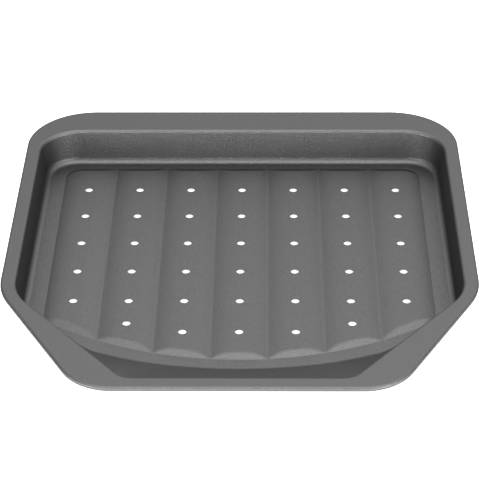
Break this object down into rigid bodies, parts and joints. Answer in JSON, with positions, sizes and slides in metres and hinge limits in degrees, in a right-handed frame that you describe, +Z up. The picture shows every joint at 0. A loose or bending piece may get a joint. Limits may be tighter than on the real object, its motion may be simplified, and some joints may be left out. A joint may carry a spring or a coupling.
{
  "type": "oven chip tray",
  "caption": "Shallow pressed-steel oven tray with a lobed, perforated floor, steep walls, a wide rolled rim and a sloped serving front.",
  "frame": {"origin": "centre of the rim's outline, on the plane that the floor rests on", "axes": "+Y from the sloped serving front to the wide back rim, +X to the right seen from the front, +Z up out of the tray"},
  "size_m": [0.3396, 0.3788, 0.0278],
  "materials": {
    "non_stick_coat": "dark grey non-stick coat with a soft metallic sheen and a fine grain"
  },
  "bodies": {
    "root": {"chip_tray": "non_stick_coat"}
  },
  "joints": []
}
